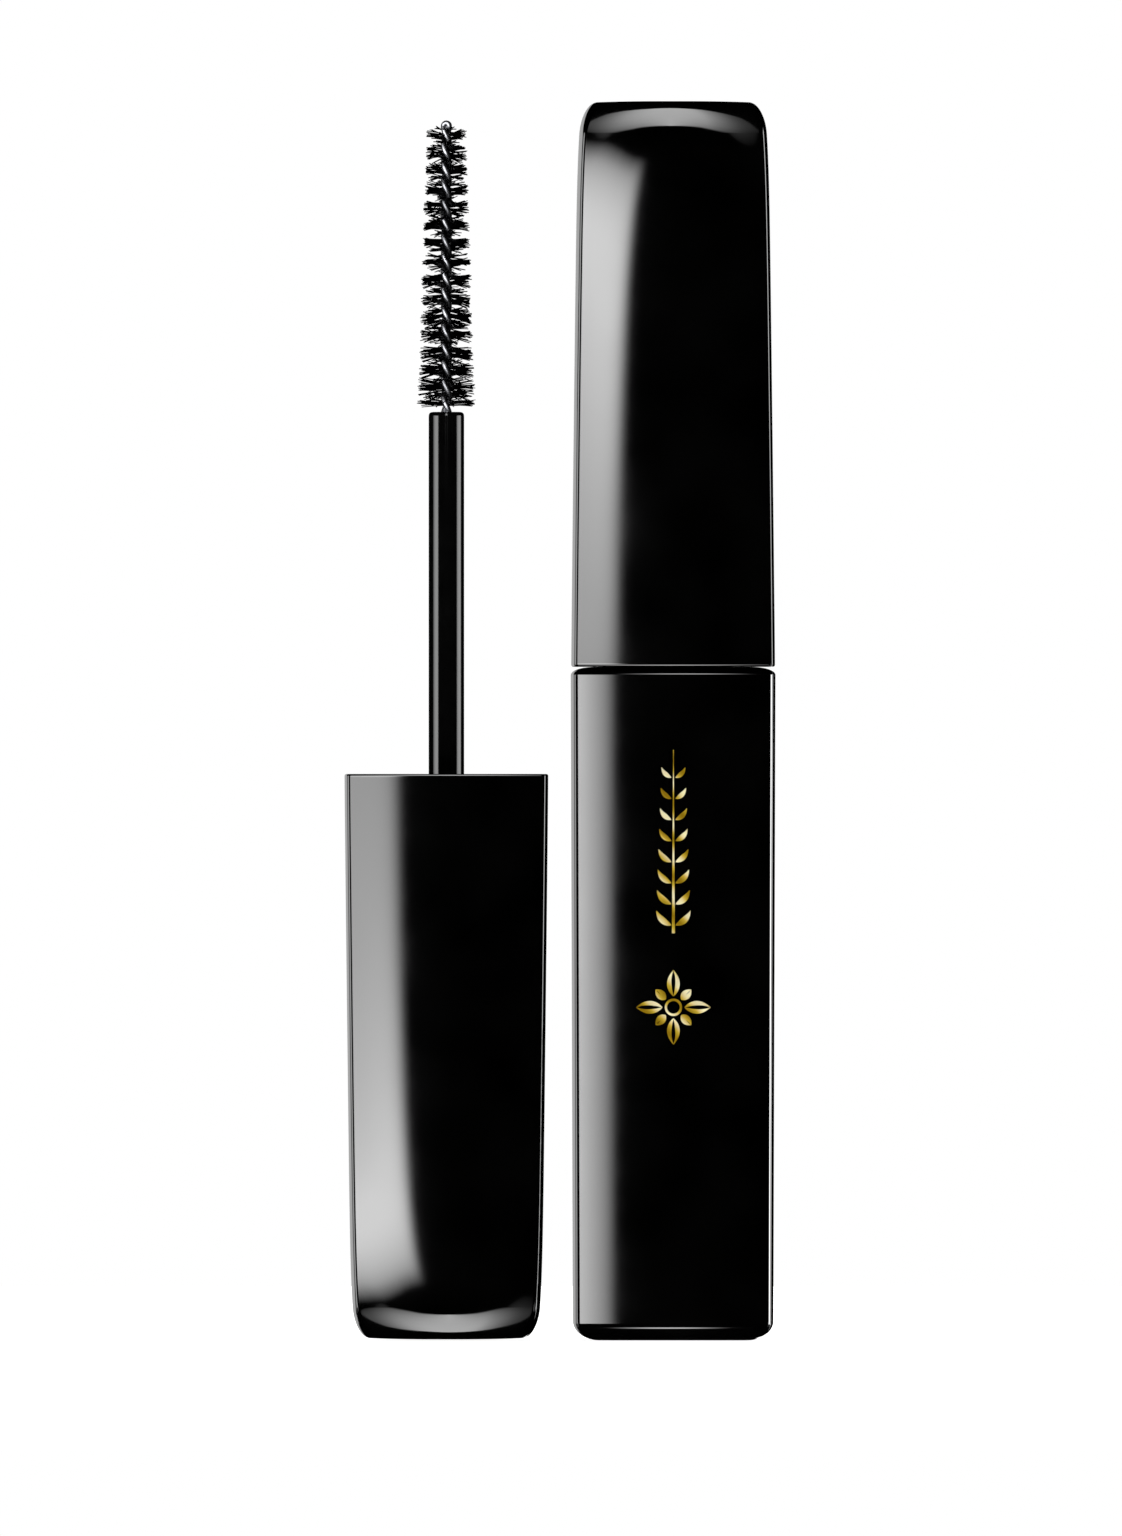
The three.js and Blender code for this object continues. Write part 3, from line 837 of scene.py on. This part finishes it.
def makeBrushTree():
    tree = bpy.data.node_groups.new("twisted brush", "GeometryNodeTree")
    face = tree.interface
    for name in ("Count", "Seed"):
        face.new_socket(name, in_out="INPUT", socket_type="NodeSocketInt").default_value = brush[name]
    for name in ("Root", "Tip", "Pitch", "Root Radius", "Tip Radius", "Fibre Radius",
                 "Root Spread", "Tip Spread"):
        face.new_socket(name, in_out="INPUT", socket_type="NodeSocketFloat").default_value = brush[name]
    face.new_socket("Material", in_out="INPUT", socket_type="NodeSocketMaterial")
    face.new_socket("Brush", in_out="OUTPUT", socket_type="NodeSocketGeometry")
    given = addNode(tree, "NodeGroupInput").outputs

    def calc(operation, one, other=None):
        settings, links = {"operation": operation}, {}
        for key, value in ((0, one), (1, other)):
            if isinstance(value, (int, float)):
                settings[key] = value
            elif value is not None:
                links[key] = value
        return addNode(tree, "ShaderNodeMath", settings, links).outputs[0]

    def chance(low, high, offset, of=None):
        links = {"Seed": calc("ADD", given["Seed"], offset)}
        if of is not None:
            links["ID"] = of
        draw = addNode(tree, "FunctionNodeRandomValue", {"data_type": "FLOAT", 2: low, 3: high}, links)
        return draw.outputs[1]

    def swing(reach, offset, of=None):
        return chance(-reach, reach, offset, of)

    def alongBrush(atRoot, atTip):
        settings, links = {}, {"Value": height, "From Min": given["Root"], "From Max": given["Tip"]}
        for key, value in (("To Min", atRoot), ("To Max", atTip)):
            (settings if isinstance(value, (int, float)) else links)[key] = value
        return addNode(tree, "ShaderNodeMapRange", settings, links).outputs["Result"]

    # points up the axis, a fibre's root at each
    start = addNode(tree, "ShaderNodeCombineXYZ", {}, {"Z": given["Root"]}).outputs[0]
    end = addNode(tree, "ShaderNodeCombineXYZ", {}, {"Z": given["Tip"]}).outputs[0]
    line = addNode(tree, "GeometryNodeMeshLine", {"mode": "END_POINTS"},
                   {"Count": given["Count"], "Start Location": start, "Offset": end})
    position = addNode(tree, "GeometryNodeInputPosition").outputs[0]
    height = addNode(tree, "ShaderNodeSeparateXYZ", {}, {0: position}).outputs["Z"]
    index = addNode(tree, "GeometryNodeInputIndex").outputs[0]
    # the strands clamp the fibres between them, so they leave at right angles to the strands
    side = calc("MULTIPLY", calc("ADD", calc("MODULO", index, 2), 0.5), math.pi)
    lay = calc("MULTIPLY", calc("DIVIDE", height, given["Pitch"]), -2 * math.pi)
    # cream gathers them in small tufts, which stray more towards the root
    tuft = calc("FLOOR", calc("DIVIDE", index, lie["tuft"]))
    spread = alongBrush(given["Root Spread"], given["Tip Spread"])
    atTip = calc("LESS_THAN", calc("SUBTRACT", height, given["Tip"]), lie["packed"])
    spread = calc("ADD", spread, calc("MULTIPLY", atTip, lie["packedSpread"]))
    stray = calc("ADD", swing(lie["tuftStray"], 1, of=tuft), swing(lie["fibreStray"], 2))
    angle = calc("ADD", calc("ADD", lay, side), calc("MULTIPLY", stray, spread))
    droop = alongBrush(lie["rootDroop"], 0.0)
    tilt = calc("ADD", calc("ADD", swing(lie["tuftTilt"], 3, of=tuft), swing(lie["fibreTilt"], 4)), droop)
    spin = chance(0, 2 * math.pi, 5)
    turn = addNode(tree, "ShaderNodeCombineXYZ", {}, {"X": spin, "Y": tilt, "Z": angle}).outputs[0]
    rotation = addNode(tree, "FunctionNodeEulerToRotation", {}, {0: turn}).outputs[0]
    reach = alongBrush(given["Root Radius"], given["Tip Radius"])
    length = calc("MULTIPLY", reach, chance(lie["shortest"], 1.0, 6))
    scale = addNode(tree, "ShaderNodeCombineXYZ", {"Y": 1.0, "Z": 1.0}, {"X": length}).outputs[0]

    # one fibre of unit length: slightly bent, and blunt, with little taper
    arc = addNode(tree, "GeometryNodeCurveQuadraticBezier", {
        "Resolution": 4, "Start": (0.05, 0, 0), "Middle": (0.6, 0.02, 0), "End": (1, 0.16, 0)})
    along = addNode(tree, "GeometryNodeSplineParameter").outputs["Factor"]
    finer = calc("SUBTRACT", 1.0, calc("MULTIPLY", along, lie["taper"]))
    sized = addNode(tree, "GeometryNodeSetCurveRadius", {}, {"Curve": arc.outputs[0], "Radius": finer})
    outline = addNode(tree, "GeometryNodeCurvePrimitiveCircle", {"Resolution": 4},
                      {"Radius": given["Fibre Radius"]})
    fibre = addNode(tree, "GeometryNodeCurveToMesh", {"Fill Caps": True},
                    {"Curve": sized.outputs[0], "Profile Curve": outline.outputs[0]})
    if "Scale" in fibre.inputs:
        tree.links.new(addNode(tree, "GeometryNodeInputRadius").outputs[0], fibre.inputs["Scale"])
    placed = addNode(tree, "GeometryNodeInstanceOnPoints", {}, {
        "Points": line.outputs[0], "Instance": fibre.outputs[0], "Rotation": rotation, "Scale": scale})
    real = addNode(tree, "GeometryNodeRealizeInstances", {}, {0: placed.outputs[0]})
    painted = addNode(tree, "GeometryNodeSetMaterial", {},
                      {"Geometry": real.outputs[0], "Material": given["Material"]})
    addNode(tree, "NodeGroupOutput", {}, {"Brush": painted.outputs[0]})
    return tree


brushTree = makeBrushTree()
for prefix, space, body in assemblies:
    empty = bpy.data.meshes.new("empty")
    fibres = madeByNodes(prefix + "fibres", empty, brushTree, {**brush, "Material": nylon})
    fibres.shade_smooth()
    print(prefix + "brush has", len(fibres.polygons), "faces")
    addPiece(prefix + "brush", fibres, space, nylon, "fibre", body, prefix + "bristles")

# studio

backdrop = {"radius": 0.4, "facets": 64, "foot": -0.004, "top": -0.0001, "glow": 0.95, "skyFill": 0.8}
floorRings = []
for z in (backdrop["foot"], backdrop["top"]):
    r = backdrop["radius"]
    angles = [2 * math.pi * i / backdrop["facets"] for i in range(backdrop["facets"])]
    floorRings.append([Vector((math.cos(a) * r, math.sin(a) * r, z)) for a in angles])
floor = bpy.data.objects.new("floor", loft("floor", floorRings))
scene.collection.objects.link(floor)
floor.visible_glossy = False
floor.visible_shadow = False
floorPaint = newMaterial("pale_floor", {
    "Base Color": hexColour("#f4f4f4"), "Roughness": 0.9, "Specular IOR Level": 0.0,
    "Emission Color": hexColour("#ffffff"), "Emission Strength": backdrop["glow"]})[0]
floor.data.materials.append(floorPaint)

world = bpy.data.worlds.new("studio")
scene.world = world
world.use_nodes = True
world.cycles.sampling_method = "NONE"
tree = world.node_tree
tree.nodes.clear()
ray = addNode(tree, "ShaderNodeLightPath").outputs
soft = addNode(tree, "ShaderNodeMath", {"operation": "MULTIPLY", 1: backdrop["skyFill"]},
               {0: ray["Is Diffuse Ray"]})
strength = addNode(tree, "ShaderNodeMath", {"operation": "ADD"},
                   {0: ray["Is Camera Ray"], 1: soft.outputs[0]})
sky = addNode(tree, "ShaderNodeBackground", {"Color": (1, 1, 1, 1)}, {"Strength": strength.outputs[0]})
addNode(tree, "ShaderNodeOutputWorld", {}, {"Surface": sky.outputs[0]})

# what each set of softboxes lights: the case and the caps have their own, as if shot one at a time
pieces = [o.name for o in scene.objects
          if o.type == "MESH" and o.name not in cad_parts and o.name != "floor"]
inCase = ("case", "foil_ornament")
shells = ("case", "cap", "loose_cap")
wires = ("wire", "loose_wire")
twisted = ("brush", "loose_brush", *wires)
litBy = {
    "case": inCase,
    "caps": ("cap", "loose_cap"),
    "wires": wires,
    "shells": shells,
    "rest": [name for name in pieces if name not in inCase + twisted],
}
litBy["all"] = [*litBy["rest"], *inCase]
litBy["inner"] = [name for name in litBy["rest"] if name not in shells]
litBy["upright"] = [*litBy["inner"], "cap", "case"]
litBy["upended"] = ["loose_cap"]


# columns of one height, from pairs of azimuth and brightness
def evenColumns(low, high, spread):
    return [(azimuth, low, high, bright) for azimuth, bright in spread]


# A softbox is a sheet of columns (azimuth, lowest and highest elevation, brightness), in degrees,
# azimuth 0 towards the camera and growing to the right. "rows" says how its brightness runs from
# the bottom (0) to the top (1), less so nearer the middle than "evenAt". A mirrored one has a twin
# below the horizon, for the cap that stands on its head. "lean" bends it to the right higher up.
flat = [(0, 1), (1, 1)]
feathered = [(0, 0), (0.12, 1), (0.88, 1), (1, 0)]
softboxes = {
    "capKey": {
        "lights": "caps", "strength": 12.7, "mirrored": True, "lean": 0.032,
        "columns": [(-13.5, 0, 9.3, 1), (-10.2, 0, 8.6, 1), (-9.1, 0, 8.35, 1), (-8.2, 0, 8.1, 1),
                    (-6.3, 0, 7.2, 1), (-5.1, 0, 6.6, 0.98), (-4.55, 0, 6.4, 0.93), (-4.15, 0, 6.3, 0.8),
                    (-3.75, 0, 6.2, 0.5), (-3.35, 0, 6.1, 0.12), (-2.95, 0, 6, 0)],
        "rows": [(0, 0.48), (0.17, 0.5), (0.24, 0.56), (0.3, 0.68), (0.36, 0.86), (0.41, 1), (0.48, 1),
                 (0.54, 0.93), (0.6, 0.83), (0.66, 0.74), (0.72, 0.63), (0.77, 0.53), (0.81, 0.42),
                 (0.86, 0.27), (0.92, 0.13), (0.96, 0.05), (1, 0)]},
    "overhead": {
        "lights": "rest", "strength": 7.6, "mirrored": True, "evenAt": 5,
        "columns": [(-9.4, 18, 22, 0.05), (-9, 13, 32, 0.13), (-8.6, 11, 41, 0.16), (-8.2, 10, 49, 0.21),
                    (-7.2, 8.6, 57, 0.37), (-6.2, 8.8, 61, 0.57), (-5.2, 11, 64, 0.76), (-4, 14.8, 66, 0.88),
                    (-3, 18.3, 68, 0.96), (-1.5, 20.6, 69.5, 1), (0, 21.2, 70, 1), (1.5, 20.6, 69.5, 1),
                    (3, 18.3, 68, 0.95), (4, 14.8, 66, 0.86), (5, 11, 63.4, 0.6), (6, 9, 58.5, 0.38),
                    (7, 8, 51, 0.2), (7.8, 7.8, 43.5, 0.11), (8.3, 8, 38, 0.08), (8.7, 8.6, 28, 0.055),
                    (9.1, 10, 15, 0.03)],
        "rows": [(0, 0.04), (0.05, 0.4), (0.2, 0.68), (0.4, 0.9), (0.6, 1), (0.97, 1.05), (1, 0)]},
    "caseKey": {
        "lights": "case", "strength": 10.2, "rows": flat,
        "columns": evenColumns(-12, 12, [
            (-6.3, 1), (-5.79, 1), (-5.41, 0.85), (-5.03, 0.725), (-4.65, 0.595), (-4.27, 0.454),
            (-3.88, 0.248), (-3.5, 0.04), (-3.12, 0)])},
    "wireKey": {
        "lights": "wires", "strength": 9, "rows": feathered,
        "columns": evenColumns(-25, 35, [(-75, 0), (-55, 0.6), (-35, 1), (-10, 0.6), (10, 0)])},
    "shoulderLine": {
        "lights": "case", "strength": 8, "rows": feathered,
        "columns": evenColumns(22, 50, [
            (-3.8, 0), (-2, 0.4), (-0.3, 0.9), (1.2, 1), (2.7, 0.9), (4.4, 0.4), (6.2, 0)])},
    "footLine": {
        "lights": "case", "strength": 9, "rows": feathered,
        "columns": evenColumns(-54, -42, [
            (-5, 0), (-3.2, 0.4), (-1.5, 0.9), (0, 1), (1.5, 0.9), (3.2, 0.4), (5, 0)])},
    "left": {
        "lights": "all", "strength": 6, "rows": feathered,
        "columns": evenColumns(-14, 14, [(-97, 0), (-91, 0.4), (-75, 1), (-57, 1), (-54, 0)])},
    "leftRear": {
        "lights": "shells", "strength": 1.6, "rows": feathered,
        "columns": evenColumns(-6, 6, [(-179, 0.25), (-150, 0.6), (-115, 1), (-105, 1)])},
    "right": {
        "lights": "caps", "strength": 5.5, "rows": feathered,
        "columns": evenColumns(-14, 14, [(96, 0), (102, 1), (124, 1), (132, 0)])},
    "rodRight": {
        "lights": "inner", "strength": 5, "rows": feathered,
        "columns": evenColumns(-14, 14, [(70, 0), (78, 1), (104, 1), (112, 0)])},
    "caseRightFront": {
        "lights": "case", "strength": 22, "rows": feathered,
        "columns": evenColumns(-20, 20, [(38, 0), (46, 1), (74, 1), (80, 0)])},
    "caseRightRear": {
        "lights": "case", "strength": 12, "rows": feathered,
        "columns": evenColumns(-20, 20, [(100, 0), (104, 1), (114, 1), (120, 0)])},
}
# low strips round the sides and the back, which give the other faces their gradients
strip = {"strength": 7, "spread": [(-11, 0), (-9.5, 0.8), (-7, 1), (-5.5, 0.7), (-4.2, 0.3), (-3, 0)],
         "rows": [(0, 0), (0.3, 0.6), (0.85, 1), (1, 0)]}
for lights, low, high in (("upright", -45, -5), ("upended", -21, -10)):
    for middle in range(45, 360, 45):
        softboxes[lights + str(middle)] = {
            "lights": lights, "strength": strip["strength"], "rows": strip["rows"],
            "columns": evenColumns(low, high, [(middle + a, bright) for a, bright in strip["spread"]])}
studio = {"distance": 6, "middle": Vector((0, 0, 0.0573)), "steps": 4}


def direction(azimuth, elevation):
    a, e = math.radians(azimuth), math.radians(elevation)
    return Vector((math.sin(a) * math.cos(e), -math.cos(a) * math.cos(e), math.sin(e)))


# columns on a smooth curve through the given ones
def smoothColumns(columns, steps):
    result = []
    for i in range(len(columns) - 1):
        around = [columns[min(max(i + j, 0), len(columns) - 1)] for j in (-1, 0, 1, 2)]
        for t in shares(steps)[:-1]:
            weights = ((-t + 2 * t ** 2 - t ** 3) / 2, (2 - 5 * t ** 2 + 3 * t ** 3) / 2,
                       (t + 4 * t ** 2 - 3 * t ** 3) / 2, (t ** 3 - t ** 2) / 2)
            curved = [sum(w * c[k] for w, c in zip(weights, around)) for k in (1, 2, 3)]
            result.append([mix(around[1][0], around[2][0], t), *curved])
    return result + [columns[-1]]


def makePanel(name, box, side):
    columns = smoothColumns(box["columns"], studio["steps"])
    points, glows, faces = [], [], []
    for azimuth, low, high, bright in columns:
        evenness = min(1, abs(azimuth) / box["evenAt"]) if "evenAt" in box else 1
        for place, share in box["rows"]:
            elevation = mix(low, high, place)
            away = direction(azimuth + box.get("lean", 0) * elevation ** 2, side * elevation)
            points.append(studio["middle"] + away * studio["distance"])
            glows.append(max(0, bright * share ** evenness))
    deep = len(box["rows"])
    for i in range(len(columns) - 1):
        for j in range(deep - 1):
            faces.append((i * deep + j, (i + 1) * deep + j, (i + 1) * deep + j + 1, i * deep + j + 1))
    mesh = bpy.data.meshes.new(name)
    mesh.from_pydata(points, [], faces)
    mesh.attributes.new("glow", "FLOAT", "POINT").data.foreach_set("value", glows)
    return mesh


def makeScrim(name, box):
    paint = bpy.data.materials.new(name)
    paint.use_nodes = True
    tree = paint.node_tree
    tree.nodes.clear()
    spread = addNode(tree, "ShaderNodeAttribute", {"attribute_name": "glow"})
    bright = addNode(tree, "ShaderNodeMath", {"operation": "MULTIPLY", 1: box["strength"]},
                     {0: spread.outputs["Fac"]})
    glow = addNode(tree, "ShaderNodeEmission", {}, {"Strength": bright.outputs[0]})
    clear = addNode(tree, "ShaderNodeBsdfTransparent")  # so that one box doesn't hide another behind it
    scrim = addNode(tree, "ShaderNodeAddShader", {}, {0: glow.outputs[0], 1: clear.outputs[0]})
    addNode(tree, "ShaderNodeOutputMaterial", {}, {"Surface": scrim.outputs[0]})
    return paint


def addSoftbox(name, box, side):
    panel = bpy.data.objects.new(name, makePanel(name, box, side))
    scene.collection.objects.link(panel)
    panel.visible_camera = False
    panel.visible_diffuse = False
    panel.visible_shadow = False
    receivers = bpy.data.collections.new(name + " lights")
    for piece in litBy[box["lights"]]:
        receivers.objects.link(bpy.data.objects[piece])
    panel.light_linking.receiver_collection = receivers
    panel.data.materials.append(makeScrim(name, box))


for name, box in softboxes.items():
    addSoftbox(name, box, 1)
    if box.get("mirrored"):
        addSoftbox(name + "Below", box, -1)
for name in pieces:  # in a neighbour's gloss a black piece would only blot out the highlights
    bpy.data.objects[name].visible_glossy = name in twisted
print("lights are on")
